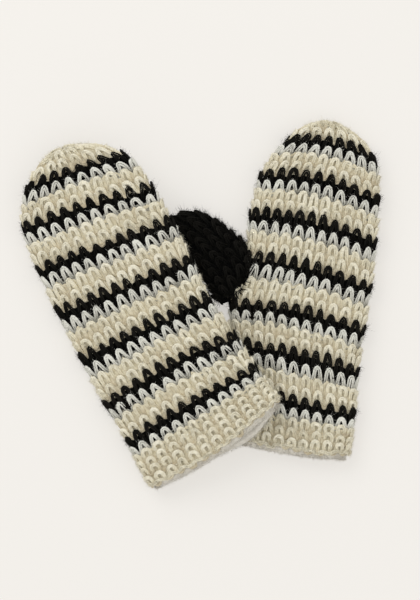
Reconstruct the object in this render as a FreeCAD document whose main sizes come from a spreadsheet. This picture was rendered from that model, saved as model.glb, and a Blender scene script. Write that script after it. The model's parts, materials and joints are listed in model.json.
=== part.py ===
"""A pair of hand-knitted striped wool mittens, lined, one lying across the other.

Each mitten is a flattened tube knitted in rounds from the cuff to the tip. Every band of
one yarn is a ring of its own, and a fleece lining lies inside. In a mitten's own frame
+Y runs from the cuff to the tip, +X across the hand and +Z up through its thickness.
"""
import FreeCAD, Part
import os
import Sketcher
from FreeCAD import Vector

doc = FreeCAD.newDocument("striped_mittens")

# ---------------------------------------------------------------- driving dimensions
SIZES = {
    # one knitted round, and the thickness of the lying mitten
    "row_pitch": 8.45,
    "half_thick": 10.0,
    "knit_wall": 4.4,
    "lining_wall": 1.2,
    "layer_gap": 0.1,
    "fold_gap": 0.4,
    "hem_drop": 3.0,
    "lining_show": 1.2,
    "sole_trim": 0.05,
    # where each mitten's cuff centre lies and which way its tip points
    "right_x": 79.1,
    "right_y": -122.0,
    "right_heading": 3.2,
    "left_x": 13.6,
    "left_y": -117.5,
    "left_heading": -26.0,
    "left_rest": 0.15,
    # the left mitten leans on the right one, this far from its own lower edge
    "lean_reach": 80.64,
    "lean_gap": 0.6,
    # thumb of the right mitten, which lies out sideways
    "thumb_across": -64.2,
    "thumb_along": 145.0,
    "thumb_angle": 51.8,
    "thumb_reach": 73.0,
    "thumb_base": 19.5,
    "thumb_tip": 15.5,
    "thumb_clear": 3.1,
    "thumb_flat": 1.4,
    # thumb of the left mitten, folded flat under its palm
    "tucked_across": 4.5,
    "tucked_along": 143.0,
    "tucked_thick": 10.4,
    "tucked_wall": 2.2,
    "tucked_lining": 0.7,
    "tucked_flat": 0.3,
    "tucked_gap": 0.4,
    "tucked_hole": 26.0,
}

# the outline: how far each mitten reaches to the left and the right of its own middle
# line, at the rounds named here, and how much its rounds slant across the hand
STATION_ROWS = [0, 6, 10, 14, 18, 22, 26, 30, 32]
REACH = {
    "right_outer": [54.0, 57.0, 62.0, 65.0, 54.0, 53.5, 47.5, 28.0, 11.0],
    "right_inner": [37.5, 40.0, 41.0, 44.0, 48.0, 51.0, 51.5, 45.5, 28.0],
    "left_outer": [60.5, 61.5, 64.0, 65.5, 66.5, 66.0, 61.5, 41.5, 20.0],
    "left_inner": [67.0, 61.5, 57.5, 52.5, 53.0, 52.5, 51.0, 41.5, 14.0],
}
SLANT_ROWS = [0, 6, 18, 32]
SLANT = {
    "right": [-5.0, -9.6, -10.6, -8.5],
    "left": [2.5, 3.8, -3.8, -8.5],
}
# the thickness shrinks towards the tip, as a share of the full one
THICK_ROWS = [0, 26, 30, 32]
THICK = [1.0, 1.0, 0.86, 0.56]

sheet = doc.addObject("Spreadsheet::Sheet", "sizes")
line = 0


def put(alias, value):
    """Write one driving dimension into the sheet as plain text with its alias."""
    global line
    line += 1
    sheet.set(f"A{line}", alias)
    sheet.set(f"B{line}", str(value))
    sheet.setAlias(f"B{line}", alias)


for alias, value in SIZES.items():
    put(alias, value)
for edge, values in REACH.items():
    for row, value in zip(STATION_ROWS, values):
        put(f"{edge}_at_{row}", value)
for side, values in SLANT.items():
    for row, value in zip(SLANT_ROWS, values):
        put(f"{side}_slant_at_{row}", value)
for row, value in zip(THICK_ROWS, THICK):
    put(f"thick_share_at_{row}", value)
doc.recompute()


# ---------------------------------------------------------------- helpers
def between(stem, rows, row):
    """An expression that runs smoothly (Catmull-Rom) through the cells stem_at_ROW."""
    row = min(max(row, rows[0]), rows[-1])
    last = len(rows) - 2
    k = max(i for i in range(last + 1) if rows[i] <= row)
    f = (row - rows[k]) / (rows[k + 1] - rows[k])
    weights = {
        k - 1: (-f + 2 * f**2 - f**3) / 2,
        k: (2 - 5 * f**2 + 3 * f**3) / 2,
        k + 1: (f + 4 * f**2 - 3 * f**3) / 2,
        k + 2: (-(f**2) + f**3) / 2,
    }
    terms = []
    for i, weight in weights.items():
        held = rows[min(max(i, 0), len(rows) - 1)]
        if abs(weight) > 1e-9:
            terms.append(f"{weight:.6f} * sizes.{stem}_at_{held}")
    return "(" + " + ".join(terms) + ")"


def straight_between(stem, rows, row):
    """An expression that runs in straight stretches through the cells stem_at_ROW."""
    row = min(max(row, rows[0]), rows[-1])
    k = max(i for i in range(len(rows) - 1) if rows[i] <= row)
    f = (row - rows[k]) / (rows[k + 1] - rows[k])
    return f"({1 - f:.6f} * sizes.{stem}_at_{rows[k]} + {f:.6f} * sizes.{stem}_at_{rows[k + 1]})"


def bind(thing, **paths):
    """Bind properties of a document object to expressions; __ stands for a dot."""
    for path, text in paths.items():
        thing.setExpression(path.replace("__", "."), text)


def slot_sketch(name):
    """A closed slot about the origin, with its half thickness and half reach bound later."""
    sketch = doc.addObject("Sketcher::SketchObject", name)
    half, flat = 10.0, 30.0
    quarter = 1.5707963
    up = Vector(0, 0, 1)
    sketch.addGeometry(Part.LineSegment(Vector(-flat, -half, 0), Vector(flat, -half, 0)))
    sketch.addGeometry(Part.ArcOfCircle(Part.Circle(Vector(flat, 0, 0), up, half), -quarter, quarter))
    sketch.addGeometry(Part.LineSegment(Vector(flat, half, 0), Vector(-flat, half, 0)))
    sketch.addGeometry(Part.ArcOfCircle(Part.Circle(Vector(-flat, 0, 0), up, half), quarter, 3 * quarter))
    rule = Sketcher.Constraint
    sketch.addConstraint([
        rule("Tangent", 0, 2, 1, 1),
        rule("Tangent", 1, 2, 2, 1),
        rule("Tangent", 2, 2, 3, 1),
        rule("Tangent", 3, 2, 0, 1),
        rule("Horizontal", 0),
        rule("Equal", 1, 3),
        rule("Symmetric", 1, 3, 3, 3, -1, 1),
    ])
    sketch.renameConstraint(sketch.addConstraint(rule("Radius", 1, half)), "half_thick")
    sketch.renameConstraint(sketch.addConstraint(rule("DistanceX", -1, 1, 1, 3, flat)), "flat_reach")
    return sketch


sections = {}


def ring(side, row, inset, shift="0"):
    """The slot where a round meets its neighbour, inset from the outer face by an expression."""
    key = (side, row, inset, shift)
    if key in sections:
        return sections[key]
    sketch = slot_sketch(f"{side}_ring_{len(sections)}")
    slant = between(f"{side}_slant", SLANT_ROWS, row)
    outer = between(f"{side}_outer", STATION_ROWS, row)
    inner = between(f"{side}_inner", STATION_ROWS, row)
    share = straight_between("thick_share", THICK_ROWS, row)
    middle = f"({inner} - {outer}) / 2"
    half = f"(sizes.half_thick * {share} - {inset})"
    bind(
        sketch,
        Constraints__half_thick=half,
        Constraints__flat_reach=f"({inner} + {outer}) / 2 / cos({slant}) - {inset} - {half}",
    )
    sketch.Placement = FreeCAD.Placement(Vector(0, 0, 0), FreeCAD.Rotation(0, 0, 90))
    bind(
        sketch,
        Placement__Base__x=middle,
        Placement__Base__y=f"{row} * sizes.row_pitch + {middle} * tan({slant}) + {shift}",
        Placement__Base__z="sizes.half_thick",
        Placement__Rotation__Yaw=slant,
        Placement__Rotation__Pitch="0",
        Placement__Rotation__Roll="90",
    )
    sections[key] = sketch
    return sketch


def loft(name, sketches):
    """A closed solid ruled from slot to slot."""
    solid = doc.addObject("Part::Loft", name)
    solid.Sections = sketches
    solid.Solid = True
    solid.Ruled = True
    return solid


def cut(name, base, tool):
    """Base with the tool taken away."""
    result = doc.addObject("Part::Cut", name)
    result.Base = base
    result.Tool = tool
    return result


nodes = []


def finish(thing, label):
    """Name a finished piece; its label names its file."""
    thing.Label = label
    nodes.append(thing)


def lay_down(thing, side, across="0", along="0", up="0", turn="0"):
    """Place a piece of a mitten, given in that mitten's frame, where the mitten lies."""
    head = f"sizes.{side}_heading"
    lean = "asin((2 * sizes.half_thick + sizes.lean_gap) / sizes.lean_reach)"
    tilt = lean if side == "left" else "0"
    widest = "sizes.left_outer_at_18"
    half = "sizes.half_thick"
    lift = f"sizes.left_rest + {half} * (1 - cos({tilt})) + ({widest} - {half}) * sin({tilt})"
    base = lift if side == "left" else "0"
    reach = f"(({across}) * cos({tilt}) - ({up}) * sin({tilt}))"
    thing.Placement = FreeCAD.Placement(Vector(0, 0, 0), FreeCAD.Rotation(1, -1, 0))
    bind(
        thing,
        Placement__Base__x=f"sizes.{side}_x + {reach} * cos({head}) + ({along}) * sin({head})",
        Placement__Base__y=f"sizes.{side}_y - {reach} * sin({head}) + ({along}) * cos({head})",
        Placement__Base__z=f"{base} + ({across}) * sin({tilt}) + ({up}) * cos({tilt})",
        Placement__Rotation__Yaw=f"{turn} - {head}",
        Placement__Rotation__Pitch=f"-{tilt}" if side == "left" else "0",
        Placement__Rotation__Roll="0",
    )


# ---------------------------------------------------------------- one mitten's bands
CUFF_ROWS = 4
STRIPES = 7
REPEAT = 4
FOLD_ROW = 20
TIP_ROW = 30
START_ROW = {"right": 0.8, "left": 0.2}
LAST_ROW = {"right": 31.6, "left": 32}
KNIT_INSET = "sizes.knit_wall"
LINING_OUT = "(sizes.knit_wall + sizes.layer_gap)"
LINING_IN = "(sizes.knit_wall + sizes.layer_gap + sizes.lining_wall)"


def band_rows(side):
    """Name and rows of each band of one yarn, from the cuff to the tip."""
    bands = [("cuff_cream_band", [START_ROW[side], CUFF_ROWS])]
    for k in range(STRIPES):
        start = CUFF_ROWS + REPEAT * k
        bands.append((f"grey_stripe_{k + 1}", [start, start + 1]))
        bands.append((f"black_stripe_{k + 1}", [start + 1, start + 2]))
        if k < STRIPES - 1:
            bands.append((f"cream_band_{k + 1}", [start + 2, start + REPEAT]))
    bands.append(("tip_cream_band", [TIP_ROW, TIP_ROW + 1, LAST_ROW[side]]))
    return bands


def tube(side, name, rows, outer, inner, first_shift="0"):
    """A ring of the flattened tube: the outer loft less the inner one."""
    shifts = [first_shift] + ["0"] * (len(rows) - 1)
    solids = []
    for tag, inset in (("outer", outer), ("inner", inner)):
        slots = [ring(side, row, inset, shift) for row, shift in zip(rows, shifts)]
        solids.append(loft(f"{side}_{name}_{tag}", slots))
    return cut(f"{side}_{name}_ring", *solids)


def rounds(side, start, stop):
    """Every boundary between bands from one row to another."""
    edges = {row for _, rows in band_rows(side) for row in rows}
    return sorted(edge for edge in edges if start <= edge <= stop)


def make_mitten(side, opening, sole=None):
    """All the rings and linings of one mitten. Palm pieces lose the thumb's opening, and
    where a sole is given, every piece is pressed flat on it."""
    fold_shift = "sizes.fold_gap"
    start = START_ROW[side]
    last = LAST_ROW[side]
    solids = []
    for tag, inset in (("outer", "0"), ("inner", KNIT_INSET)):
        slots = [ring(side, start, inset, "-sizes.hem_drop"), ring(side, start, inset)]
        solids.append(loft(f"{side}_hem_{tag}", slots))
    pieces = [(cut(f"{side}_hem_ring", *solids), "cast_on_edge", False)]
    for name, rows in band_rows(side):
        first = fold_shift if rows[0] == FOLD_ROW else "0"
        pieces.append((tube(side, name, rows, "0", KNIT_INSET, first), name, rows[0] < FOLD_ROW))
    drop = "-(sizes.hem_drop + sizes.lining_show)"
    palm_rows = rounds(side, start, FOLD_ROW)
    solids = []
    for tag, inset in (("outer", LINING_OUT), ("inner", LINING_IN)):
        slots = [ring(side, start, inset, drop)] + [ring(side, row, inset) for row in palm_rows]
        solids.append(loft(f"{side}_palm_lining_{tag}", slots))
    pieces.append((cut(f"{side}_palm_lining_tube", *solids), "palm_lining", True))
    finger_rows = rounds(side, FOLD_ROW, TIP_ROW + 1)
    fingers = tube(side, "finger_lining", finger_rows, LINING_OUT, LINING_IN, fold_shift)
    pieces.append((fingers, "finger_lining", False))
    gather_slots = [ring(side, TIP_ROW + 1, LINING_OUT), ring(side, last, LINING_OUT)]
    pieces.append((loft(f"{side}_gather_solid", gather_slots), "tip_gather", False))
    for piece, name, in_palm in pieces:
        if in_palm:
            piece = cut(f"{side}_{name}_open", piece, opening)
        if sole:
            piece = cut(f"{side}_{name}_flat", piece, sole)
        lay_down(piece, side, up="-sizes.sole_trim" if sole else "0")
        finish(piece, f"{side}_{name}")


notch = doc.addObject("Part::Cylinder", "right_thumb_notch")
bind(
    notch,
    Radius="sizes.thumb_base + sizes.thumb_clear",
    Height="2 * sizes.half_thick + 2",
    Placement__Base__x="sizes.thumb_across",
    Placement__Base__y="sizes.thumb_along",
    Placement__Base__z="-1",
)
hole = doc.addObject("Part::Box", "left_thumb_hole")
bind(
    hole,
    Length="sizes.tucked_hole",
    Width="sizes.tucked_hole",
    Height="sizes.half_thick",
    Placement__Base__x="sizes.tucked_across - sizes.tucked_hole / 2",
    Placement__Base__y="sizes.tucked_along - sizes.tucked_hole - sizes.tucked_gap",
    Placement__Base__z="-1",
)
table = doc.addObject("Part::Box", "table_slab")
bind(
    table,
    Length="4 * sizes.thumb_along",
    Width="4 * sizes.thumb_along",
    Height="2 * sizes.half_thick",
    Placement__Base__x="-2 * sizes.thumb_along",
    Placement__Base__y="-sizes.thumb_along",
    Placement__Base__z="sizes.sole_trim - 2 * sizes.half_thick",
)
make_mitten("right", notch, table)
make_mitten("left", hole)


# ---------------------------------------------------------------- the thumbs
def origin_plane(body, role):
    """One of a body's own origin planes."""
    return next(f for f in body.Origin.OriginFeatures if f.Role == role)


def thumb_outline(body, name, inset, flat_base):
    """A thumb seen from above: a rounded or a straight base, and a narrower round tip."""
    sketch = body.newObject("Sketcher::SketchObject", name)
    sketch.AttachmentSupport = (origin_plane(body, "XY_Plane"), [""])
    sketch.MapMode = "FlatFace"
    base, tip, reach = 19.5, 15.5, 57.5
    up = Vector(0, 0, 1)
    half_turn = 3.1415927
    rule = Sketcher.Constraint
    right = Part.LineSegment(Vector(base, 0, 0), Vector(tip, reach, 0))
    left = Part.LineSegment(Vector(-tip, reach, 0), Vector(-base, 0, 0))
    sketch.addGeometry(right)
    sketch.addGeometry(Part.ArcOfCircle(Part.Circle(Vector(0, reach, 0), up, tip), 0, half_turn))
    sketch.addGeometry(left)
    if flat_base:
        sketch.addGeometry(Part.LineSegment(Vector(-base, 0, 0), Vector(base, 0, 0)))
        sketch.addConstraint([
            rule("Coincident", 2, 2, 3, 1),
            rule("Coincident", 3, 2, 0, 1),
            rule("Symmetric", 3, 1, 3, 2, -2),
            rule("PointOnObject", 3, 1, -1),
        ])
        width = sketch.addConstraint(rule("DistanceX", -1, 1, 3, 2, base))
    else:
        arc = Part.ArcOfCircle(Part.Circle(Vector(0, 0, 0), up, base), half_turn, 2 * half_turn)
        sketch.addGeometry(arc)
        sketch.addConstraint([
            rule("Tangent", 2, 2, 3, 1),
            rule("Tangent", 3, 2, 0, 1),
            rule("Coincident", 3, 3, -1, 1),
        ])
        width = sketch.addConstraint(rule("Radius", 3, base))
    sketch.addConstraint([
        rule("Tangent", 0, 2, 1, 1),
        rule("Tangent", 1, 2, 2, 1),
        rule("PointOnObject", 1, 3, -2),
    ])
    sketch.renameConstraint(width, "base_half")
    sketch.renameConstraint(sketch.addConstraint(rule("Radius", 1, tip)), "tip_half")
    sketch.renameConstraint(sketch.addConstraint(rule("DistanceY", -1, 1, 1, 3, reach)), "tip_centre")
    bind(
        sketch,
        Constraints__base_half=f"sizes.thumb_base - {inset}",
        Constraints__tip_half=f"sizes.thumb_tip - {inset}",
        Constraints__tip_centre="sizes.thumb_reach - sizes.thumb_tip",
    )
    return sketch


def thumb_shell(side, layer, inset, wall, thick, rounding, flat_base):
    """One layer of a thumb: a padded outline with its upper and lower edges rounded,
    hollowed from its middle plane and open towards the hand."""
    body = doc.addObject("PartDesign::Body", f"{side}_{layer}_body")
    pad = body.newObject("PartDesign::Pad", f"{side}_{layer}_pad")
    pad.Profile = thumb_outline(body, f"{side}_{layer}_outline", inset, flat_base)
    pad.Midplane = True
    bind(pad, Length=f"{thick} - 2 * {inset}")
    doc.recompute()
    level = max(v.Z for v in pad.Shape.Vertexes)
    rims = []
    for number, edge in enumerate(pad.Shape.Edges, 1):
        heights = [v.Z for v in edge.Vertexes]
        at_base = flat_base and all(abs(v.Y) < 1e-6 for v in edge.Vertexes)
        if min(abs(z) for z in heights) > level - 1e-6 and heights[0] * heights[-1] > 0 and not at_base:
            rims.append(f"Edge{number}")
    fillet = body.newObject("PartDesign::Fillet", f"{side}_{layer}_rounding")
    fillet.Base = (pad, rims)
    bind(fillet, Radius=rounding)
    hollow = body.newObject("PartDesign::Pocket", f"{side}_{layer}_hollow")
    hollow.Profile = thumb_outline(body, f"{side}_{layer}_hollow_outline", f"({inset} + {wall})", flat_base)
    hollow.Midplane = True
    bind(hollow, Length=f"{thick} - 2 * {inset} - 2 * {wall}")
    mouth_sketch = body.newObject("Sketcher::SketchObject", f"{side}_{layer}_mouth_outline")
    mouth_sketch.AttachmentSupport = (origin_plane(body, "XY_Plane"), [""])
    mouth_sketch.MapMode = "FlatFace"
    corners = [Vector(-10, -30, 0), Vector(10, -30, 0), Vector(10, 1, 0), Vector(-10, 1, 0)]
    for start, stop in zip(corners, corners[1:] + corners[:1]):
        mouth_sketch.addGeometry(Part.LineSegment(start, stop))
    rule = Sketcher.Constraint
    mouth_sketch.addConstraint([rule("Coincident", k, 2, (k + 1) % 4, 1) for k in range(4)])
    mouth_sketch.addConstraint([rule("Horizontal", 2), rule("Vertical", 1), rule("Vertical", 3)])
    mouth_sketch.addConstraint(rule("Symmetric", 0, 1, 0, 2, -2))
    half = mouth_sketch.addConstraint(rule("DistanceX", -1, 1, 0, 2, 10.0))
    low = mouth_sketch.addConstraint(rule("DistanceY", 0, 2, -1, 1, 30.0))
    high = mouth_sketch.addConstraint(rule("DistanceY", -1, 1, 1, 2, 1.0))
    mouth_sketch.renameConstraint(half, "mouth_half")
    mouth_sketch.renameConstraint(low, "mouth_low")
    mouth_sketch.renameConstraint(high, "mouth_high")
    corner = 0.75 if not flat_base else 1.0
    bind(
        mouth_sketch,
        Constraints__mouth_half=f"{corner} * (sizes.thumb_base - {inset} - {wall})",
        Constraints__mouth_low="sizes.thumb_base + 1",
    )
    mouth = body.newObject("PartDesign::Pocket", f"{side}_{layer}_mouth")
    mouth.Profile = mouth_sketch
    mouth.Midplane = True
    bind(mouth, Length=f"{thick} - 2 * {inset} - 2 * {wall}")
    body.Tip = mouth
    return body


for side in ("right", "left"):
    tucked = side == "left"
    knit = "sizes.tucked_wall" if tucked else "sizes.knit_wall"
    fleece = "sizes.tucked_lining" if tucked else "sizes.lining_wall"
    thick = "sizes.tucked_thick" if tucked else "(2 * sizes.half_thick)"
    rounding = f"({thick} / 2 - sizes.{'tucked' if tucked else 'thumb'}_flat)"
    inside = f"({knit} + sizes.layer_gap)"
    layers = [
        ("thumb_knit", "0", knit, rounding),
        ("thumb_lining", inside, fleece, f"2 * {fleece}"),
    ]
    for layer, inset, wall, edge_round in layers:
        body = thumb_shell(side, layer, inset, wall, thick, edge_round, tucked)
        if tucked:
            middle = "-(sizes.tucked_gap + sizes.tucked_thick / 2)"
            lay_down(body, side, "sizes.tucked_across", "sizes.tucked_along", middle)
        else:
            place = ("sizes.thumb_across", "sizes.thumb_along", "sizes.half_thick", "sizes.thumb_angle")
            lay_down(body, side, *place)
        finish(body, f"{side}_{layer}")

# ---------------------------------------------------------------- check and write
doc.recompute()
for thing in doc.Objects:
    if "Invalid" in thing.State or "Error" in thing.State:
        raise RuntimeError(f"{thing.Name} failed: {thing.State}")
pair = FreeCAD.BoundBox()
os.makedirs("parts", exist_ok=True)
for node in nodes:
    shape = node.Shape
    if shape.isNull() or not shape.isValid() or len(shape.Solids) != 1:
        raise RuntimeError(f"{node.Label} is not one valid solid: {len(shape.Solids)}")
    pair.add(shape.optimalBoundingBox())
for node in nodes:
    node.Shape.exportStep(f"parts/{node.Label}.step")
print(len(nodes), "pieces")
print("x", pair.XMin, pair.XMax, "y", pair.YMin, pair.YMax, "z", pair.ZMin, pair.ZMax)
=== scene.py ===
# %% [markdown]
# # A pair of striped, hand-knitted wool mittens
# The mittens are knitted in rounds from two strands of wool held together. No stripe is
# painted: every stripe is a row of real loops, so the model is made of yarn as well. The
# shade in the yarn's hollows is painted into its colour.
# The imported CAD model gives the frame: its bodies, its joints and the size of the pair.

# %% The frame
import json
import math

import bpy
import numpy as np
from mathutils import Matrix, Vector


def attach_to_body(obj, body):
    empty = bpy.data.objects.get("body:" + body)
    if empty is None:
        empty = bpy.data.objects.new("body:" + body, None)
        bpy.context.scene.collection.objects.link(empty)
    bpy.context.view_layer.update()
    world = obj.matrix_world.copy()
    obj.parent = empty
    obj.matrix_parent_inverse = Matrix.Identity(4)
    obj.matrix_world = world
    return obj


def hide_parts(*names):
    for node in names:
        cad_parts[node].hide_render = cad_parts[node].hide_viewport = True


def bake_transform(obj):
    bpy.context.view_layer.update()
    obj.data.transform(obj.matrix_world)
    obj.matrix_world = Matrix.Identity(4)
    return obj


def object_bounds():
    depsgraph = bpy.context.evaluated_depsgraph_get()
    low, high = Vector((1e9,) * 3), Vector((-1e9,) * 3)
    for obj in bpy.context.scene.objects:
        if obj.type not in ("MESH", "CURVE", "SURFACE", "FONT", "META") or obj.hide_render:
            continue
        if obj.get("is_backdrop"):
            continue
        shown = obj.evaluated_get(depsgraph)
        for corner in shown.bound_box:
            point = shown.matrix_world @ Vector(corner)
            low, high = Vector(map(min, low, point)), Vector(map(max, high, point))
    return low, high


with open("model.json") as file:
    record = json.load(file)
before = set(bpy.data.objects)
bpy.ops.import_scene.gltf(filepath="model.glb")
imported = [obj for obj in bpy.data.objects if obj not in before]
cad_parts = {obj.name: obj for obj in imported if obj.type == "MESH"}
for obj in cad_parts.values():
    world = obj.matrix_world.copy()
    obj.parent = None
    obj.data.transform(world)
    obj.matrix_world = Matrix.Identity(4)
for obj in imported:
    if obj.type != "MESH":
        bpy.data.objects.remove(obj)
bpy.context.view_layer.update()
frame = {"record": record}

# %% [markdown]
# ## The lie of each mitten
# A mitten on a table is a flattened tube. Its outline is given at a few rounds of knitting,
# counted from the cuff: how far the round reaches to each side of the mitten's middle line,
# how far along the mitten it lies, how much it slopes, and how much it bows towards the tip.
# Smooth curves through those few values give every round between them.

# %% Outline values, in millimetres
MM = 0.001
STATIONS = [-1, 0, 6, 10, 14, 18, 22, 26, 30, 31, 32]
MITTENS = {
    "right": dict(
        x=79.1, y=-122.0, heading=3.2, tilt=0.0, lift=0.0, first=1, turn=0.3, rim=1.0,
        outer=[53.5, 54, 57, 62, 65, 56, 52.5, 45, 25.5, 18, 7],
        inner=[36, 37, 40, 41, 44, 47.5, 49.2, 49, 42, 34, 20],
        along=[-2, 5, 50.7, 88, 121, 156, 192, 224.6, 253.5, 260.5, 265],
        slope=[-0.09, -0.09, -0.179, -0.16, -0.155, -0.19, -0.18, -0.165, -0.149, -0.14, -0.1],
        bow=[-4, -3, 0.8, 4.3, 5.5, 5, 7, 8, 7, 6, 4],
    ),
    "left": dict(
        x=13.6, y=-117.5, heading=-26.0, tilt=14.8, lift=14.92, first=0, turn=0.1, rim=5.5,
        outer=[59, 60, 61, 63.5, 65, 65.5, 64.5, 59.5, 40.5, 31, 16],
        inner=[68, 67, 61.5, 57.5, 52.5, 53, 52.5, 50, 38.5, 28, 11],
        along=[1.2, 8, 50.7, 85, 119.3, 156, 191, 224.6, 253.5, 262, 268.5],
        slope=[0.145, 0.145, 0.072, 0.033, -0.014, -0.067, -0.109, -0.151, -0.109, -0.1, -0.1],
        bow=[-7, -6, 2.5, 4.3, 0.8, 1.6, 0.8, 3.5, 2.5, 3, 3],
    ),
}
HALF_THICK = [10, 10, 10, 10, 10, 10, 10, 9.8, 8.4, 6.8, 3.6]
CROWN = 1.6
LAST_ROW = 31
# Where across the cuff the lower layer shows most, how wide it shows, and over how many rows.
GAPE_PLACE, GAPE_WIDTH, GAPE_ROWS = 0.42, 0.36, 1.5


def smooth_curve(places, values):
    """A Catmull-Rom curve through the values at the places, sampled finely, as a function."""
    places, values = np.array(places, float), np.array(values, float)
    fine = np.linspace(places[0], places[-1], 600)
    k = np.clip(np.searchsorted(places, fine, side="right") - 1, 0, len(places) - 2)
    step = places[k + 1] - places[k]
    f = (fine - places[k]) / step
    rise = np.gradient(values, places)
    a, b = values[k], values[k + 1]
    ca, cb = rise[k] * step, rise[k + 1] * step
    curve = (2 * f**3 - 3 * f**2 + 1) * a + (f**3 - 2 * f**2 + f) * ca
    curve += (-2 * f**3 + 3 * f**2) * b + (f**3 - f**2) * cb
    return lambda row: np.interp(row, fine, curve)


# %% [markdown]
# ## The surface that the yarn follows
# A point of the knitting is given by how far round the tube it is, by its row, and by how
# far it stands out. The tube's section is a slot: flat above and below, half round at both
# edges, with the upper side crowned a little because the layers inside are springy.

# %% The flattened tube
class Tube:
    """A flattened tube of knitting that lies on the table in a frame of its own."""

    def __init__(self, plan, half_thick, stations, seat=(0, 0, None)):
        self.plan = plan
        self.seat = seat
        self.middle_up = max(half_thick) if seat[2] is None else seat[2]
        self.outer = smooth_curve(stations, plan["outer"])
        self.inner = smooth_curve(stations, plan["inner"])
        self.along = smooth_curve(stations, plan["along"])
        self.slope = smooth_curve(stations, plan["slope"])
        self.bow = smooth_curve(stations, plan["bow"])
        self.half_thick = smooth_curve(stations, half_thick)
        self.widest_girth = float(max(self.girth(np.linspace(stations[0], stations[-1], 200))))

    def girth(self, row):
        """The length once round the tube: two flat sides and two half circles."""
        half = (self.outer(row) + self.inner(row)) / 2
        thick = self.half_thick(row)
        return 4 * (half - thick) + 2 * math.pi * thick

    def place(self, reach, row, out):
        """World points for a distance round the tube from the middle of its upper side.

        Up to the flat length the point lies on the upper side. Then it turns round a half
        circle, and past that it lies on the lower side, going back. Out moves it along the
        section's outward direction.
        """
        half = (self.outer(row) + self.inner(row)) / 2
        thick = self.half_thick(row)
        flat = np.maximum(half - thick, 0.5)
        girth = 4 * flat + 2 * math.pi * thick
        reach = (reach + girth / 2) % girth - girth / 2
        side = np.where(reach < 0, -1.0, 1.0)
        past = np.abs(reach)
        angle = np.clip((past - flat) / thick, 0, math.pi)
        on_top = past < flat
        below = past > flat + math.pi * thick
        sideways = np.where(on_top, past, flat)
        sideways = np.where(below, 2 * flat + math.pi * thick - past, sideways)
        normal_side = np.where(on_top | below, 0.0, np.sin(angle))
        normal_up = np.where(on_top, 1.0, np.where(below, -1.0, np.cos(angle)))
        layer = np.maximum(thick + out, 0.3)
        offset = side * (sideways + layer * normal_side)
        crown = CROWN * np.clip(normal_up, 0, 1) * (1 - np.clip(np.abs(offset) / half, 0, 1) ** 2)
        up = layer * normal_up + crown
        across = (self.inner(row) - self.outer(row)) / 2 + offset
        along = self.along(row) + offset * self.slope(row) - self.bow(row) * (offset / half) ** 2
        along = along - self.gape(offset / half, row) * (1 - normal_up) / 2
        return self.to_world(across + self.seat[0], along + self.seat[1], up + self.middle_up)

    def gape(self, share, row):
        """How far the lower layer's cuff edge runs out past the upper one's."""
        bump = np.exp(-(((share - GAPE_PLACE) / GAPE_WIDTH) ** 2))
        bump = bump - np.exp(-(((1 - GAPE_PLACE) / GAPE_WIDTH) ** 2))
        fade = np.exp(-np.clip(row, 0, 9) / GAPE_ROWS)
        return self.plan.get("rim", 0) * np.clip(bump, 0, 1) * fade

    def to_world(self, across, along, up):
        """Tilt about the mitten's own length, turn to its heading and move to its place."""
        plan = self.plan
        tilt, heading = math.radians(plan["tilt"]), math.radians(plan["heading"])
        flat = across * math.cos(tilt) - up * math.sin(tilt)
        height = across * math.sin(tilt) + up * math.cos(tilt) + plan["lift"]
        x = plan["x"] + flat * math.cos(heading) + along * math.sin(heading)
        y = plan["y"] - flat * math.sin(heading) + along * math.cos(heading)
        return np.stack([x, y, height], axis=-1) * MM


tubes = {side: Tube(plan, HALF_THICK, STATIONS) for side, plan in MITTENS.items()}
for side, tube in tubes.items():
    print(side, "girth at the palm", round(float(tube.girth(14)), 1), "mm")

# %% [markdown]
# ## One round of stitches
# A knitted stitch is a loop that comes through its neighbour. Along a round the yarn swings
# to and fro: sideways twice as often as lengthways, and in and out with the sideways swing.
# That is the well-known plain-knit curve. Its two legs meet in a round arch towards the tip,
# and the arch lies over the foot of the next round, like a roof tile.
# Two strands lie side by side on it. Every stitch differs a little, as in handwork.

# %% The yarn of one round
# Stitches of a round; swing in stitches, reach and row shift in rows, the rest in millimetres.
WALES = 25
SWING = 0.03
REACH = 0.66
DEPTH = 1.25
STRAND = 0.8
SPREAD = 0.78
SEGMENTS = 14
SIDES = 6
ROW_SHIFT = 0.12
SKIN = 0.2
WIDEST_LEAN = 12
rng = np.random.default_rng(32)


def wale_count(tube, row, palm_wales):
    """Stitches in a round: all of them in the palm, and fewer as the tip narrows."""
    share = tube.girth(row + 0.4) / tube.widest_girth
    if share > 0.93 or row < 0 and share > 0.8:
        return palm_wales
    return max(6, 2 * int(round(share * palm_wales / 2)))


def round_reach(tube, wale, count, row, palm_wales):
    """Distance round the tube of a stitch place, counted from the middle of the upper side.

    In the palm all stitches are equally wide. In the tip they keep the palm's width over
    the middle of both sides, and the edges take up the difference.
    """
    girth = tube.girth(row)
    if count == palm_wales:
        return wale * girth / count
    pitch = np.minimum(tube.widest_girth / palm_wales, girth / count)
    kept = max(count / 4 - 1.2, 0.6)
    flat = wale % count
    flat = np.where(flat > count / 2, flat - count, flat)
    last_kept = count / 2 - kept
    edge = kept * pitch
    half = np.abs(flat)
    near = half * pitch
    far = girth / 2 - (count / 2 - half) * pitch
    share = np.clip((half - kept) / (last_kept - kept), 0, 1)
    between = edge + (girth / 2 - 2 * edge) * share
    return np.sign(flat) * np.where(half < kept, near, np.where(half > last_kept, far, between))


def wobble(count, points, amount):
    """Random values, one for each stitch, blended smoothly along the round."""
    values = rng.normal(0, amount, count)
    place = np.arange(points) / points * count
    low = np.floor(place).astype(int) % count
    f = place - np.floor(place)
    f = f * f * (3 - 2 * f)
    return values[low] * (1 - f) + values[(low + 1) % count] * f


def unit(vectors):
    """Vectors scaled to length one."""
    return vectors / np.maximum(np.linalg.norm(vectors, axis=-1, keepdims=True), 1e-12)


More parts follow.
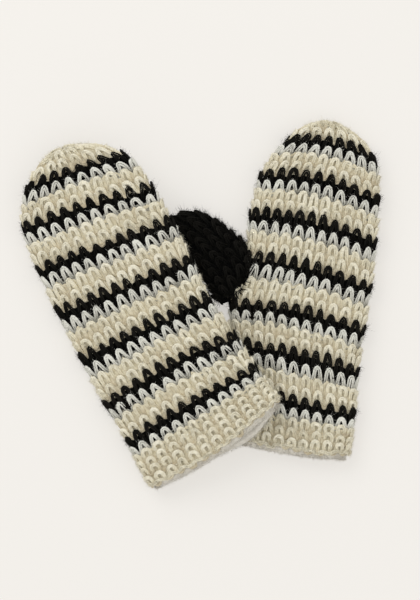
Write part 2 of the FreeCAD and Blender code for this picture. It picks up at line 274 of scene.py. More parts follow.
def yarn_round(
    tube, row, palm_wales, phase=0.0,
    swing=SWING, reach=REACH, depth=DEPTH, spread=SPREAD, loose=1.0, proud=0.0,
):
    """Centre lines of the two strands of one round, with outward directions and depths.

    sideways = turn / one stitch + swing * sin(2 turn)
    lengthways = -reach * cos(turn), towards the tip
    outwards = -depth * cos(turn), so that the foot lies deep and the arch stands out
    The phase shifts the round sideways in stitches, loose scales the unevenness of the
    stitches, and proud lifts the whole round, in millimetres.
    """
    count = wale_count(tube, row, palm_wales)
    parent = wale_count(tube, row + 1, palm_wales)
    points = count * SEGMENTS
    turn = 2 * math.pi * np.arange(points) / SEGMENTS
    swings = swing + wobble(count, points, 0.02 * loose)
    wale = turn / (2 * math.pi) + swings * np.sin(2 * turn)
    wale = wale + wobble(count, points, 0.035 * loose) + phase
    level = -reach * np.cos(turn) * (1 + wobble(count, points, 0.08 * loose))
    level = level + wobble(count, points, 0.05 * loose)
    out = -depth * np.cos(turn) + wobble(count, points, 0.2 * loose)
    out = out - depth - STRAND - SKIN + proud
    place = row + ROW_SHIFT + level
    own = round_reach(tube, wale, count, place, palm_wales)
    if parent != count:
        # Where the next round has fewer stitches, an arch leans half way to its place there.
        other = round_reach(tube, wale * parent / count, parent, place, palm_wales)
        gap = np.where(np.abs(other - own) < WIDEST_LEAN, other - own, 0)
        own = own + np.clip(level, 0, 1) * 0.5 * gap
    centre = tube.place(own, place, out)
    outward = unit(tube.place(own, place, out + 1.0) - centre)
    ahead = unit(np.roll(centre, -1, axis=0) - np.roll(centre, 1, axis=0))
    sideways = unit(np.cross(ahead, outward))
    lean = wobble(count, points, 0.25)[:, None]
    strands = []
    for sign in (-1, 1):
        shift = sideways * np.cos(lean) + outward * np.sin(lean)
        strands.append(centre + sign * spread * MM * shift)
    return strands, outward, out


# %% [markdown]
# ## From centre lines to yarn
# Each strand is a closed tube of six sides carried along its centre line. Its UV map runs
# along the strand and round it, in strand diameters, so the twist of the yarn follows it.

# %% Tube meshes
def grid_faces(columns, rows, closed=True):
    """Quads of a grid that closes round its columns: a closed tube, or else an open ring.

    Both face outwards. A tube's rows go round its own section and an open ring's rows lie
    one after another, so the corners run in opposite orders.
    """
    i = np.arange(columns)[:, None]
    j = np.arange(rows if closed else rows - 1)[None, :]
    nxt, over = (i + 1) % columns, (j + 1) % rows
    quads = [i * rows + j, i * rows + over, nxt * rows + over, nxt * rows + j]
    if not closed:
        quads = [quads[0], quads[3], quads[2], quads[1]]
    return np.stack(quads, -1).reshape(-1, 4)


def strand_mesh(centre, outward, radius, uneven=0.1):
    """Vertices, faces and UVs of a closed round strand: a circle carried along the line.

    Handspun yarn is uneven, so the circle's radius varies a little along the line.
    """
    thick = radius * (1 + wobble(max(4, len(centre) // 5), len(centre), uneven))[:, None, None]
    thick = thick * (1 + rng.normal(0, uneven, (len(centre), SIDES, 1)))
    ahead = unit(np.roll(centre, -1, axis=0) - np.roll(centre, 1, axis=0))
    across = unit(np.cross(ahead, outward))
    up = np.cross(across, ahead)
    angle = (2 * math.pi * np.arange(SIDES) / SIDES)[None, :, None]
    circle = np.cos(angle) * up[:, None, :] + np.sin(angle) * across[:, None, :]
    verts = (centre[:, None, :] + thick * circle).reshape(-1, 3)
    rings = len(centre)
    length = np.concatenate([[0], np.cumsum(np.linalg.norm(np.diff(centre, axis=0), axis=1))])
    length = np.concatenate([length, [length[-1] + np.linalg.norm(centre[0] - centre[-1])]])
    u = length / (2 * radius)
    u = u * (round(u[-1]) / u[-1])
    u_low = np.broadcast_to(u[:-1, None], (rings, SIDES))
    u_high = np.broadcast_to(u[1:, None], (rings, SIDES))
    v_low = np.broadcast_to(np.arange(SIDES) / SIDES, (rings, SIDES))
    v_high = v_low + 1 / SIDES
    uvs = np.stack([
        np.stack([u_low, v_low], -1), np.stack([u_low, v_high], -1),
        np.stack([u_high, v_high], -1), np.stack([u_high, v_low], -1),
    ], axis=2)
    return verts, grid_faces(rings, SIDES), uvs.reshape(-1, 4, 2)


# The rest height, and the share of a depth under it that stays.
REST = 0.1 * MM
PRESSED = 0.04


def piece_from(name, parts, material, depths=None):
    """One mesh object from several (vertices, faces, uvs) parts, smooth shaded.

    Wool that would hang below the table is pressed up against it: only a small share of its
    depth under the rest height stays.
    """
    starts = np.cumsum([0] + [len(v) for v, _, _ in parts])
    verts = np.concatenate([v for v, _, _ in parts])
    sunk = np.minimum(verts[:, 2] - REST, 0)
    verts[:, 2] -= sunk * (1 - PRESSED)
    corners = np.concatenate([(f + s).ravel() for (_, f, _), s in zip(parts, starts)])
    sizes = np.concatenate([np.full(len(f), f.shape[1]) for _, f, _ in parts])
    uvs = np.concatenate([t.reshape(-1, 2) for _, _, t in parts])
    mesh = bpy.data.meshes.new(name)
    mesh.vertices.add(len(verts))
    mesh.vertices.foreach_set("co", verts.astype(np.float32).ravel())
    mesh.loops.add(len(corners))
    mesh.loops.foreach_set("vertex_index", corners.astype(np.int32))
    mesh.polygons.add(len(sizes))
    mesh.polygons.foreach_set("loop_start", (np.cumsum(sizes) - sizes).astype(np.int32))
    mesh.polygons.foreach_set("use_smooth", np.ones(len(sizes), bool))
    layer = mesh.uv_layers.new(name="yarn")
    layer.data.foreach_set("uv", uvs.astype(np.float32).ravel())
    if depths is not None:
        attribute = mesh.attributes.new("depth", "FLOAT", "POINT")
        attribute.data.foreach_set("value", np.concatenate(depths).astype(np.float32))
    mesh.update(calc_edges=True)
    mesh.validate()
    thing = bpy.data.objects.new(name, mesh)
    bpy.context.scene.collection.objects.link(thing)
    mesh.materials.append(material)
    return thing


# %% [markdown]
# ## Materials
# A small class wraps a shader socket so that shader maths reads as ordinary arithmetic.

# %% Shader maths
class Value:
    """A shader socket with arithmetic; one method adds any other node."""

    def __init__(self, tree, socket):
        self.tree, self.socket = tree, socket

    def node(self, kind, inputs=(), output=0, **settings):
        """Add a node: its settings first, then the values or links of its sockets."""
        made = self.tree.nodes.new(kind)
        for key, value in settings.items():
            if key == "stops":
                for k, (place, colour) in enumerate(value):
                    element = made.color_ramp.elements[k] if k < 2 else made.color_ramp.elements.new(place)
                    element.position, element.color = place, (*colour, 1)
            else:
                setattr(made, key, value)
        for key, value in dict(inputs).items():
            if isinstance(value, Value):
                self.tree.links.new(value.socket, made.inputs[key])
            else:
                made.inputs[key].default_value = value
        return Value(self.tree, made.outputs[output])

    def math(self, operation, *operands):
        return self.node("ShaderNodeMath", dict(enumerate(operands)), operation=operation)

    def __add__(self, other):
        return self.math("ADD", self, other)

    def __sub__(self, other):
        return self.math("SUBTRACT", self, other)

    def __rsub__(self, other):
        return self.math("SUBTRACT", other, self)

    def __mul__(self, other):
        return self.math("MULTIPLY", self, other)

    __radd__, __rmul__ = __add__, __mul__


def new_material(name):
    """An empty node material, with its shader and a starting Value."""
    material = bpy.data.materials.new(name)
    material.use_nodes = True
    tree = material.node_tree
    shader = tree.nodes["Principled BSDF"]
    return material, tree, shader, Value(tree, None)


# %% [markdown]
# ### Wool
# Wool is matt. Its colour is painted palest where the yarn stands out and darker and warmer in
# the hollows, as painted shade and light; it changes a little from place to place, and the
# two-ply twist and the fibres show as relief.

# %% The wools
# Noise scales are per metre: patches of 17 mm, flecks of 2 mm and fibres of 1 mm.
def noise(coords, scale, detail):
    """A noise texture's value at some coordinates."""
    inputs = {"Vector": coords, "Scale": scale, "Detail": detail}
    return coords.node("ShaderNodeTexNoise", inputs)


def wool(name, tones, fleck, fleck_share, sheen):
    """A yarn finish: three tones by depth for painted shade, fibre flecks, ply twist and fibre relief."""
    material, tree, shader, start = new_material(name)
    hollow_painted_shade, middle, lit_crest = tones
    depth = start.node("ShaderNodeAttribute", output="Fac", attribute_name="depth")
    coords = start.node("ShaderNodeTexCoord", output="Object")
    patch = noise(coords, 60.0, 2.0)
    fibre = noise(coords, 900.0, 3.0)
    # The depth runs the colour from painted shade in the hollows to the pale lit crests; the noise adds
    # random tone.
    tone = depth + (patch - 0.5) * 0.5 + (fibre - 0.5) * 0.5
    colour = start.node(
        "ShaderNodeValToRGB", {"Fac": tone}, stops=[(0.0, hollow_painted_shade), (1.0, lit_crest), (0.45, middle)]
    )
    flecks = (noise(coords, 520.0, 1.0) - (1 - fleck_share)) * 12.0
    mask = start.node("ShaderNodeMath", {0: flecks, 1: 0.0}, operation="MAXIMUM", use_clamp=True)
    mixed = start.node(
        "ShaderNodeMix", {0: mask, 6: colour, 7: (*fleck, 1)}, output=2, data_type="RGBA"
    )
    tree.links.new(mixed.socket, shader.inputs["Base Color"])
    uv = start.node("ShaderNodeUVMap", uv_map="yarn")
    parts = uv.node("ShaderNodeSeparateXYZ", {0: uv})
    along, round_it = parts, Value(tree, parts.socket.node.outputs[1])
    twist = start.math("SINE", (along * 0.5 + round_it * 2.0) * (2 * math.pi))
    height = twist * 0.5 + fibre * 1.2
    bump = start.node("ShaderNodeBump", {"Height": height, "Strength": 0.7, "Distance": 0.0004})
    tree.links.new(bump.socket, shader.inputs["Normal"])
    shader.inputs["Roughness"].default_value = 0.92
    shader.inputs["Specular IOR Level"].default_value = 0.08
    shader.inputs["Sheen Weight"].default_value = sheen
    shader.inputs["Sheen Roughness"].default_value = 0.6
    return material


# Each wool's three tones: painted shade in the hollows, its middle tone, and its lit crests.
cream = wool(
    "cream_wool", [(0.56, 0.485, 0.34), (0.75, 0.695, 0.53), (0.87, 0.83, 0.69)],
    fleck=(0.9, 0.88, 0.78), fleck_share=0.3, sheen=0.05,
)
grey = wool(
    "light_grey_wool", [(0.34, 0.33, 0.28), (0.64, 0.63, 0.57), (0.82, 0.82, 0.75)],
    fleck=(0.9, 0.9, 0.84), fleck_share=0.3, sheen=0.05,
)
black = wool(
    "black_wool", [(0.001, 0.001, 0.001), (0.004, 0.004, 0.003), (0.012, 0.011, 0.009)],
    fleck=(0.06, 0.05, 0.035), fleck_share=0.25, sheen=0.0,
)
print("materials:", [m.name for m in (cream, grey, black)])

# %% [markdown]
# ## The bands of knitting
# Counted from the cuff, four cream rounds come first, then grey, black and two cream rounds
# over and over, and two cream rounds at the tip. Each band is one piece, because it is one
# length of yarn. A felted inner layer of the same yarn closes the gaps between the loops, and
# its colour is darkened towards the hollows' tone as painted shade.

# %% Rounds to bands
STRIPES = 7
CUFF_ROUNDS = 4
REPEAT = 4


def bands():
    """Name, colour and rounds of every band, from the cuff to the tip."""
    yield "cuff_cream_band", cream, list(range(CUFF_ROUNDS))
    for k in range(STRIPES):
        start = CUFF_ROUNDS + REPEAT * k
        yield f"grey_stripe_{k + 1}", grey, [start]
        yield f"black_stripe_{k + 1}", black, [start + 1]
        if k < STRIPES - 1:
            yield f"cream_band_{k + 1}", cream, [start + 2, start + 3]
    yield "tip_cream_band", cream, [LAST_ROW - 1, LAST_ROW]


# How high a collar is, in millimetres; its wave, its start and its ramp, in rows.
COLLAR = 1.5
COLLAR_WAVE = 0.2
COLLAR_START, COLLAR_RAMP = 0.48, 0.3
FELT_COLUMNS = 200


def felt_ring(tube, low, high, out, collar=None):
    """A matted ring of the tube's surface between two rows, facing outwards.

    A collar is the place of the first arch round the tube, in stitches. It raises the last
    half row, where the nap of one yarn lies over the feet of the next one's loops, and it
    reaches furthest at the arches: edge = high + wave * cos(stitches from an arch).
    """
    steps = max(4, int(round(6 * (high - low))))
    u = np.arange(FELT_COLUMNS) / FELT_COLUMNS
    rows = np.linspace(low, high, steps + 1)
    grid_u, grid_row = np.meshgrid(u, rows, indexing="ij")
    rise = 0.0
    if collar is not None:
        share = (grid_row - low) / (high - low)
        wave = COLLAR_WAVE * np.cos(2 * math.pi * (grid_u * WALES - collar))
        wave = wave + rng.normal(0, 0.07, (FELT_COLUMNS, 1))
        from_edge = (share - 1) * (high - low)
        grid_row = grid_row + wave * share ** 3
        rise = COLLAR * np.clip((from_edge + COLLAR_START) / COLLAR_RAMP, 0, 1)
    depth = out + rise + rng.normal(0, 0.25, grid_u.shape)
    points = tube.place(grid_u * tube.girth(grid_row), grid_row, depth)
    faces = grid_faces(FELT_COLUMNS, steps + 1, closed=False)
    return points.reshape(-1, 3), faces, np.zeros((len(faces), 4, 2))


# %% [markdown]
# ### Nap, hole and joints
# Short loose fibres make the wool look soft. The right hand has a round hole, in which the
# thumb's root sits. Cloth that crosses a joint is left where it lies and rides on no body, and
# elsewhere a piece rides on one body.

# %% A band with its nap
FELT_OUT = -4.1
JOINTS = {joint["name"]: joint for joint in frame["record"]["behaviour"]["joints"]}
# The middle of the right thumb's root and the radius of its hole, in millimetres.
THUMB_HINGE = (23.09, 26.36)
THUMB_SEAT = 15.5
# For each wool: the fibres of a stitch, their length and how far they stand off; then how
# its rounds are knitted.
HANDLING = {
    cream: ((112, 2.8, 0.8), dict(swing=0.09, loose=1.6, spread=0.62, strand=1.0, felt_out=-3.3)),
    grey: ((34, 3.0, 0.6), dict(loose=1.3)),
    black: ((80, 3.8, 0.9), dict(reach=0.84, loose=1.7, proud=0.5)),
}
THUMB_NAP = (90, 4.5, 0.9)
SLOTS = {cream: "cream_wool", grey: "light_grey_wool", black: "black_wool"}
# How far, in rows, the felted layer reaches below and above the rounds of its band.
FELT_EDGES = {cream: (0.55, 0.74), grey: (0.2, 0.1), black: (1.2, 0.45)}


def crest_share(out):
    """0 in the hollows and 1 on the crests, from how far the yarn stands out."""
    return np.clip((out + 2 * DEPTH + STRAND) / (2 * DEPTH), 0, 1)


def carve(part, depth, centre, radius):
    """Leave out the faces inside an upright round hole, and the vertices they alone used."""
    verts, faces, uvs = part
    inside = np.hypot(verts[:, 0] / MM - centre[0], verts[:, 1] / MM - centre[1]) < radius
    kept = ~inside[faces].all(axis=1)
    if kept.all():
        return part, depth
    used, remapped = np.unique(faces[kept], return_inverse=True)
    return (verts[used], remapped.reshape(-1, faces.shape[1]), uvs[kept]), depth[used]


FIBRE = 0.07


def fibres(centre, outward, number, length, stand, radius=FIBRE):
    """Loose fibres of the nap: thin closed spindles that start in the yarn and bend off it.

    A fibre's line is start + length * (share * direction + share squared * curl). Its two
    ends are single points, and a ring of three vertices between them gives it a body.
    """
    pick = rng.integers(0, len(centre), number)
    start, up = centre[pick], outward[pick]
    spin = unit(rng.normal(size=(number, 3)))
    flat = spin - up * (spin * up).sum(1, keepdims=True)
    direction = unit(unit(flat) + up * rng.uniform(0.1, stand, (number, 1)))
    curl = rng.normal(0, 0.4, (number, 3)) - up * 0.15
    reach = length * rng.uniform(0.45, 1.2, (number, 1)) * MM
    start = start + up * STRAND * 0.85 * MM
    root, waist, tip = (start + reach * (f * direction + f * f * curl) for f in (0.0, 0.5, 1.0))
    side = unit(np.cross(direction, up + 0.01))
    over = np.cross(direction, side)
    ring = []
    for k in range(3):
        angle = 2 * math.pi * k / 3
        ring.append(waist + radius * MM * (math.cos(angle) * side + math.sin(angle) * over))
    verts = np.stack([root, *ring, tip], axis=1)
    faces = [(0, 2, 1), (0, 3, 2), (0, 1, 3), (4, 1, 2), (4, 2, 3), (4, 3, 1)]
    faces = (np.array(faces)[None] + 5 * np.arange(number)[:, None, None]).reshape(-1, 3)
    return verts.reshape(-1, 3), faces, np.zeros((len(faces), 3, 2))


def knit(
    tube, rows, felt_rows, wales, phase, nap,
    hole=None, collar=None, strand=STRAND, felt_out=FELT_OUT, **yarn,
):
    """The strands, the nap and the felted inner layer of some rounds, with their depths."""
    per_stitch, length, stand = nap
    pairs = []
    for row in rows:
        strands, outward, out = yarn_round(tube, row, wales, phase, **yarn)
        # This depth attribute gives the yarn painted shade in its hollows and paler lit crests.
        depth = np.repeat(crest_share(out), SIDES)
        for centre in strands:
            pairs.append((strand_mesh(centre, outward, strand * MM, uneven=0.13), depth))
        proud = crest_share(out) > 0.3
        number = per_stitch * len(out) // SEGMENTS // 2
        for centre in strands:
            hairs = fibres(centre[proud], outward[proud], number, length, stand)
            pairs.append((hairs, np.repeat(rng.uniform(0.35, 1.25, number), 5)))
    felt = felt_ring(tube, *felt_rows, felt_out, collar=collar)
    # The felted layer gets a low depth, so it takes the darker hollow tone: painted shade in the gaps
    # between the loops.
    pairs.append((felt, np.full(len(felt[0]), 0.3)))
    if hole:
        pairs = [carve(part, depth, *hole) for part, depth in pairs]
        pairs = [pair for pair in pairs if len(pair[0][1])]
    return [part for part, _ in pairs], [depth for _, depth in pairs]


# For each moving body: its parent, their joint, and half the length of cloth that bends.
BENDS = {
    "right_fingers": ("right_hand", "right_finger_fold", 20.0),
    "left_fingers": ("left_hand", "left_finger_fold", 20.0),
    "right_thumb": ("right_hand", "right_thumb_swing", 10.0),
    "left_thumb": ("left_hand", "left_thumb_fold", 8.0),
}


def heading_of(tube, body):
    """The direction in which a body leaves its joint: square to the axis, along the tube."""
    ahead = unit(tube.place(0.0, 4.0, 0.0) - tube.place(0.0, 0.0, 0.0))
    axis = unit(np.array(JOINTS[BENDS[body][1]]["axis"], float))
    return unit(ahead - axis * (ahead @ axis))


def attach(piece, body, slot, *nodes, tube=None):
    """Let a piece move with a body and hide the CAD nodes that it stands for. The slot is not used.

    Cloth that crosses a joint is given its tube. Planes before and after the joint are worked
    out from it, but the piece is only baked in place and rides on no body.
    """
    if tube is None:
        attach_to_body(piece, body)
    else:
        parent, joint, half = BENDS[body]
        centre = np.array(JOINTS[joint]["pos_m"], float)
        ahead = heading_of(tube, body) * half * MM
        start, end = (tuple(float(c) for c in centre + sign * ahead) for sign in (-1, 1))
        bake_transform(piece)
    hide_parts(*nodes)
    return piece


# %% Every band of both mittens
FOLD_ROW = 20
FOLD_ROWS = set(range(FOLD_ROW - 4, FOLD_ROW + 4))
bands_made = 0
for side, tube in tubes.items():
    first = tube.plan["first"]
    hole = (THUMB_HINGE, THUMB_SEAT) if side == "right" else None
    for name, material, rows in bands():
        node = f"{side}_{name}"
        rows = [row for row in rows if row >= first]
        below, above = FELT_EDGES[material]
        felt_rows = (max(rows[0] - below, first - 0.4), rows[-1] + above)
        nap, yarn = HANDLING[material]
        collar = tube.plan["turn"] + 0.5 if material is cream else None
        made = knit(tube, rows, felt_rows, WALES, tube.plan["turn"], nap, hole, collar, **yarn)
        piece = piece_from(f"{node}_yarn", made[0], material, made[1])
        crossing = not FOLD_ROWS.isdisjoint(rows)
        body = "fingers" if crossing or rows[0] >= FOLD_ROW else "hand"
        attach(piece, f"{side}_{body}", SLOTS[material], node, tube=tube if crossing else None)
        bands_made += 1
print("knitted bands:", bands_made)

# %% [markdown]
# ## The two ends of the tube
# At the cuff a cast-on strand holds the first loops. At the tip the last loops are drawn
# together on the yarn's end, which closes the tube.

# %% Cast-on edges and drawn-in tips
# The lid's rings as shares of the way in, and its height in millimetres.
LID_SHARES = np.linspace(0, 0.96, 9)
LID_DOME = 2.5
LID_COLUMNS = 120


def gather_lid(tube, row):
    """A matted lid that closes the tip, with the rounds that are drawn in over it.

    point = round * (1 - share) + middle * share + dome * share * (2 - share)
    """
    u = np.arange(LID_COLUMNS) / LID_COLUMNS * tube.girth(row)
    rim = tube.place(u, row, -1.0)
    middle = rim.mean(axis=0)
    ahead = unit((rim - tube.place(u, row - 1, -1.0)).mean(axis=0))
    share = LID_SHARES[None, :, None]
    dome = (LID_DOME + rng.normal(0, 0.2, (LID_COLUMNS, len(LID_SHARES), 1))) * MM
    points = rim[:, None, :] * (1 - share) + middle * share + ahead * dome * share * (2 - share)
    faces = grid_faces(LID_COLUMNS, len(LID_SHARES), closed=False)
    outward = np.broadcast_to(ahead, rim.shape)
    parts = [(points.reshape(-1, 3), faces, np.zeros((len(faces), 4, 2)))]
    parts += [strand_mesh(points[:, k], outward, STRAND * MM) for k in (1, 3, 5)]
    parts += [fibres(points[:, k], outward, 200, 3.0, 0.8) for k in (0, 2, 4, 6)]
    return parts


EDGE = dict(swing=0.05, reach=0.1, depth=0.6, loose=2.5, spread=0.6)
EDGE_BELOW, EDGE_STRAND = 0.35, 0.65
GATHER = dict(swing=0.1, reach=0.12, depth=0.4)
GATHER_ROWS = (LAST_ROW + 0.45, LAST_ROW + 0.8)
LID_ROW = LAST_ROW + 0.7
for side, tube in tubes.items():
    first = tube.plan["first"]
    strands, outward, _ = yarn_round(tube, first - EDGE_BELOW, WALES, **EDGE)
    parts = [strand_mesh(centre, outward, EDGE_STRAND * MM, uneven=0.2) for centre in strands]
    parts += [fibres(centre, outward, 1100, 2.8, 0.7) for centre in strands]
    depth = [np.full(len(part[0]), 0.7) for part in parts]
    piece = piece_from(f"{side}_cast_on_edge_yarn", parts, cream, depth)
    attach(piece, f"{side}_hand", "cream_edge_wool", f"{side}_cast_on_edge")
    closing = []
    for row in GATHER_ROWS:
        strands, outward, _ = yarn_round(tube, row, WALES, **GATHER)
        closing += [strand_mesh(centre, outward, STRAND * MM) for centre in strands]
        closing += [fibres(centre, outward, 300, 3.0, 0.8) for centre in strands]
    closing += gather_lid(tube, LID_ROW)
    depth = [np.full(len(part[0]), 0.6) for part in closing]
    piece = piece_from(f"{side}_tip_gather_yarn", closing, cream, depth)
    attach(piece, f"{side}_fingers", "cream_edge_wool", f"{side}_tip_gather")

# %% [markdown]
# ## Thumbs
# A thumb is a narrower tube of the same knitting in black. The right one lies out to the
# side, with its round base set into the edge of the hand. The left one is folded flat under
# its palm, so it is thinner. Black wool hides its stitches, and its nap shows instead.

# %% The thumbs
# A round's height, its stitches and the place of its first one, and degrees off the hand.
THUMB_PITCH = 7.7
THUMB_WALES = 12
THUMB_TURN = 0.25
THUMB_LEAN = 51.8
ROOT_CURLS = 90
CURL_RING = 14.0
THUMBS = {
    "right": dict(
        stations=[-2.1, -1.8, -1.1, 0, 1, 3, 5, 6.5, 7.4, 8, 8.5],
        outer=[14, 24, 26, 25, 22.5, 20.5, 18, 15.5, 13, 9, 3],
        inner=[3, 9, 17.5, 23, 25, 24.8, 23.2, 18.6, 12.8, 7.5, 3],
        thick=[4, 8, 10.6, 11.2, 11.2, 10.8, 10, 9.2, 7.8, 6, 3],
        seat=(0, 0, 11.0),
        place=dict(
            x=THUMB_HINGE[0], y=THUMB_HINGE[1], tilt=0.0, lift=0.0,
            heading=MITTENS["right"]["heading"] - THUMB_LEAN,
        ),
        rows=range(-1, 8),
    ),
    "left": dict(
        stations=[-1.6, 0, 2, 4, 6, 7.4, 8.4, 9, 9.4],
        outer=[19.2, 19.3, 19.2, 18.6, 17.2, 14.6, 10.6, 6.6, 3],
        inner=[19.2, 19.3, 19.2, 18.6, 17.2, 14.6, 10.6, 6.6, 3],
        thick=[4.9, 4.9, 4.9, 4.9, 4.9, 4.8, 4.5, 3.8, 2.6],
        seat=(4.5, 147, -5.7),
        place={key: MITTENS["left"][key] for key in ("x", "y", "heading", "tilt", "lift")},
        rows=range(-1, 9),
    ),
}


def thumb_tube(shape):
    """The tube of a thumb, with its rounds a thumb pitch apart and square to its length."""
    stations = shape["stations"]
    none = [0.0] * len(stations)
    along = [THUMB_PITCH * row for row in stations]
    plan = dict(outer=shape["outer"], inner=shape["inner"], along=along, slope=none, bow=none)
    return Tube({**plan, **shape["place"]}, shape["thick"], stations, shape["seat"])


def root_curls(tube, number):
    """Short thick ends of yarn in an arc round the thumb's root, lying out over the hand."""
    angle = rng.uniform(-1.3, 1.3, 4 * number)
    reach, along = CURL_RING * np.sin(angle), -CURL_RING * np.cos(angle)
    centre = tube.place(reach, along / THUMB_PITCH, 0.5)
    return fibres(centre, unit(centre - tube.place(0.0, 0.0, 0.5)), number, 4.5, 2.5, radius=0.5)


thumbs = {side: thumb_tube(shape) for side, shape in THUMBS.items()}
for side, tube in thumbs.items():
    rows, ends = THUMBS[side]["rows"], THUMBS[side]["stations"]
    felt_rows = (ends[0] + 0.2, ends[-1] - 0.1)
    made = knit(tube, rows, felt_rows, THUMB_WALES, THUMB_TURN, THUMB_NAP, loose=1.5)
    curls = root_curls(tube, ROOT_CURLS)
    made[0].append(curls)
    made[1].append(np.full(len(curls[0]), 0.8))
    piece = piece_from(f"{side}_thumb_knit_yarn", made[0], black, made[1])
    attach(piece, f"{side}_thumb", "black_wool", f"{side}_thumb_knit", tube=tube)

# %% [markdown]
# ## The fleece lining
# The lining is one soft tube inside the knitting. Its edge is turned over at the cuff, so
# it ends in a rounded rim that shows below the knitted edge.

# %% Lining
# How deep under the knitting the fleece starts, how thick it is, and its rim.
LINING_OUT = -5.0
LINING_THICK = 1.3
THUMB_FLEECE_THICK = 0.8
RIM_BELOW, RIM_ROLL = 0.55, 0.5
RIM_FIBRES = 8000


def lining_tube(tube, rows, thick, columns=160, rim=0.0):
    """A closed double-walled tube: the outer wall to the rim, round it, and back inside.

    The section of the wall is followed once round, so the sheet has a real thickness.
    """
    low, high, count = rows
    walk = np.linspace(high, low, count)
    turn = np.linspace(0, math.pi, 9)[1:-1]
    level = np.concatenate([walk, low - rim * np.sin(turn), walk[::-1]])
    swell = np.exp(-((level - low) / 0.25) ** 2) * rim * 2.2
    side = np.concatenate([np.ones(count), np.cos(turn), -np.ones(count)])
    depth = LINING_OUT - thick / 2 + side * (thick / 2 + swell)
    u = np.arange(columns) / columns
    grid_u, grid_level = np.meshgrid(u, level, indexing="ij")
    grid_depth = np.broadcast_to(depth, grid_u.shape)
    points = tube.place(grid_u * tube.girth(grid_level), grid_level, grid_depth)
    faces = grid_faces(columns, len(level))
    return points.reshape(-1, 3), faces, np.zeros((len(faces), 4, 2))


def flat_cut(tube, low, high, depth):
    """Width, length and area of the flat fleece that is sewn into a tube.

    area = sum of girth * step along the middle of the upper side
    """
    rows = np.linspace(low, high, 200)
    girth = (tube.girth(rows) - 2 * math.pi * depth) * MM
    steps = np.linalg.norm(np.diff(tube.place(0.0, rows, -depth), axis=0), axis=1)
    area = float((steps * (girth[1:] + girth[:-1]) / 2).sum())
    print("fleece", round(float(girth.max()), 4), round(float(steps.sum()), 4), round(area, 5))
    return float(girth.max()), float(steps.sum()), area


def rim_nap(tube, edge, number):
    """Short soft fibres over the lining's rolled rim, pointing away from the hand."""
    row = edge - rng.uniform(-0.3, RIM_ROLL, number * 2)
    u = rng.uniform(0, 1, number * 2) * tube.girth(row)
    depth = LINING_OUT + rng.uniform(-1.5, 1.2, number * 2)
    centre = tube.place(u, row, depth)
    away = unit(centre - tube.place(u, row + 0.4, depth))
    return fibres(centre, away, number, 2.0, 2.0, radius=0.1)


def fleece(name):
    """Brushed fleece: matt, mottled, with a short soft nap as relief."""
    material, tree, shader, start = new_material(name)
    coords = start.node("ShaderNodeTexCoord", output="Object")
    nap = noise(coords, 700.0, 4.0)
    patch = noise(coords, 120.0, 2.0)
    colour = start.node(
        "ShaderNodeValToRGB", {"Fac": nap * 0.6 + patch * 0.4},
        stops=[(0.25, (0.62, 0.58, 0.50)), (0.75, (0.86, 0.83, 0.76))],
    )
    tree.links.new(colour.socket, shader.inputs["Base Color"])
    bump = start.node("ShaderNodeBump", {"Height": nap + patch, "Strength": 0.5, "Distance": 0.0003})
    tree.links.new(bump.socket, shader.inputs["Normal"])
    shader.inputs["Roughness"].default_value = 1.0
    shader.inputs["Specular IOR Level"].default_value = 0.1
    shader.inputs["Sheen Weight"].default_value = 0.3
    return material


fleece_material = fleece("fleece_lining")
for side, tube in tubes.items():
    first = tube.plan["first"]
    edge = first - RIM_BELOW
    part = lining_tube(tube, (edge, LAST_ROW, 90), LINING_THICK, rim=RIM_ROLL)
    lining = piece_from(f"{side}_hand_lining", [part], fleece_material)
    nodes = (f"{side}_palm_lining", f"{side}_finger_lining")
    attach(lining, f"{side}_fingers", "fleece_lining", *nodes, tube=tube)
    nap = piece_from(f"{side}_lining_rim_nap", [rim_nap(tube, edge, RIM_FIBRES)], fleece_material)
    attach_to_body(nap, f"{side}_hand")
    width, length, area = flat_cut(tube, edge - RIM_ROLL, LAST_ROW, LINING_THICK / 2 - LINING_OUT)
for side, tube in thumbs.items():
    ends = THUMBS[side]["stations"]
    low, high = ends[0] + 0.6, ends[-1] - 0.5
    part = lining_tube(tube, (low, high, 40), THUMB_FLEECE_THICK, columns=120)
    piece = piece_from(f"{side}_thumb_fleece", [part], fleece_material)
    attach(piece, f"{side}_thumb", "fleece_lining", f"{side}_thumb_lining", tube=tube)
    width, length, area = flat_cut(tube, low, high, THUMB_FLEECE_THICK / 2 - LINING_OUT)
    yarn = f"{side}_thumb_knit_yarn"

# %% [markdown]
# ## Table, light and camera
# The pair lies on a plain pale table under broad soft light and is seen from straight above.

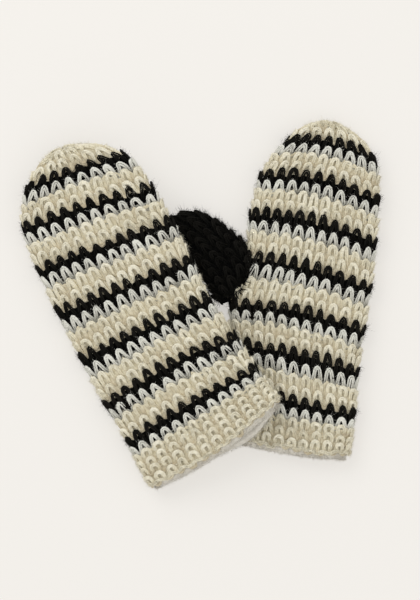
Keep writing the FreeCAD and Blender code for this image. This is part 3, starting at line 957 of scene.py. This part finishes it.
# %% The stage
# The camera looks straight down on the middle from its height above it.
MIDDLE = (0.0066, 0.0035, 0.015)
CAMERA_HEIGHT = 2.4
VIEW_WIDTH = 0.3276
SENSOR = 36
TABLE = -0.0005
floor_mesh = bpy.data.meshes.new("table")
floor_mesh.from_pydata([(-3, -3, TABLE), (3, -3, TABLE), (3, 3, TABLE), (-3, 3, TABLE)], [], [(0, 1, 2, 3)])
floor = bpy.data.objects.new("table", floor_mesh)
bpy.context.scene.collection.objects.link(floor)
floor_material, tree, shader, start = new_material("pale_table")
shader.inputs["Base Color"].default_value = (0.34, 0.33, 0.315, 1)
shader.inputs["Roughness"].default_value = 1.0
shader.inputs["Specular IOR Level"].default_value = 0.0
shader.inputs["Emission Color"].default_value = (0.896, 0.871, 0.831, 1)
shader.inputs["Emission Strength"].default_value = 0.605
floor_mesh.materials.append(floor_material)
floor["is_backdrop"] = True


def area_light(name, place, aim, size, power):
    """A square soft light at a place, turned to its aim."""
    light = bpy.data.lights.new(name, "AREA")
    light.energy, light.size = power, size
    thing = bpy.data.objects.new(name, light)
    thing.location = place
    thing.rotation_euler = (Vector(aim) - Vector(place)).to_track_quat("-Z", "Y").to_euler()
    bpy.context.scene.collection.objects.link(thing)


area_light("key_light", (-0.9, 1.1, 1.6), (0, 0, 0), 1.4, 15)
area_light("fill_light", (1.0, -0.4, 1.7), (0, 0, 0), 1.8, 6)
world = bpy.data.worlds.new("studio")
world.use_nodes = True
world.node_tree.nodes["Background"].inputs["Color"].default_value = (1.0, 0.99, 0.97, 1)
world.node_tree.nodes["Background"].inputs["Strength"].default_value = 0.75
bpy.context.scene.world = world

camera_data = bpy.data.cameras.new("camera")
camera_data.sensor_fit = "HORIZONTAL"
camera_data.sensor_width = SENSOR
camera_data.lens = SENSOR * CAMERA_HEIGHT / VIEW_WIDTH
camera = bpy.data.objects.new("camera", camera_data)
camera.location = (MIDDLE[0], MIDDLE[1], MIDDLE[2] + CAMERA_HEIGHT)
bpy.context.scene.collection.objects.link(camera)
bpy.context.scene.camera = camera
bpy.context.scene.view_settings.view_transform = "Standard"

# %% The box round everything shown, and the end
low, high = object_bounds()
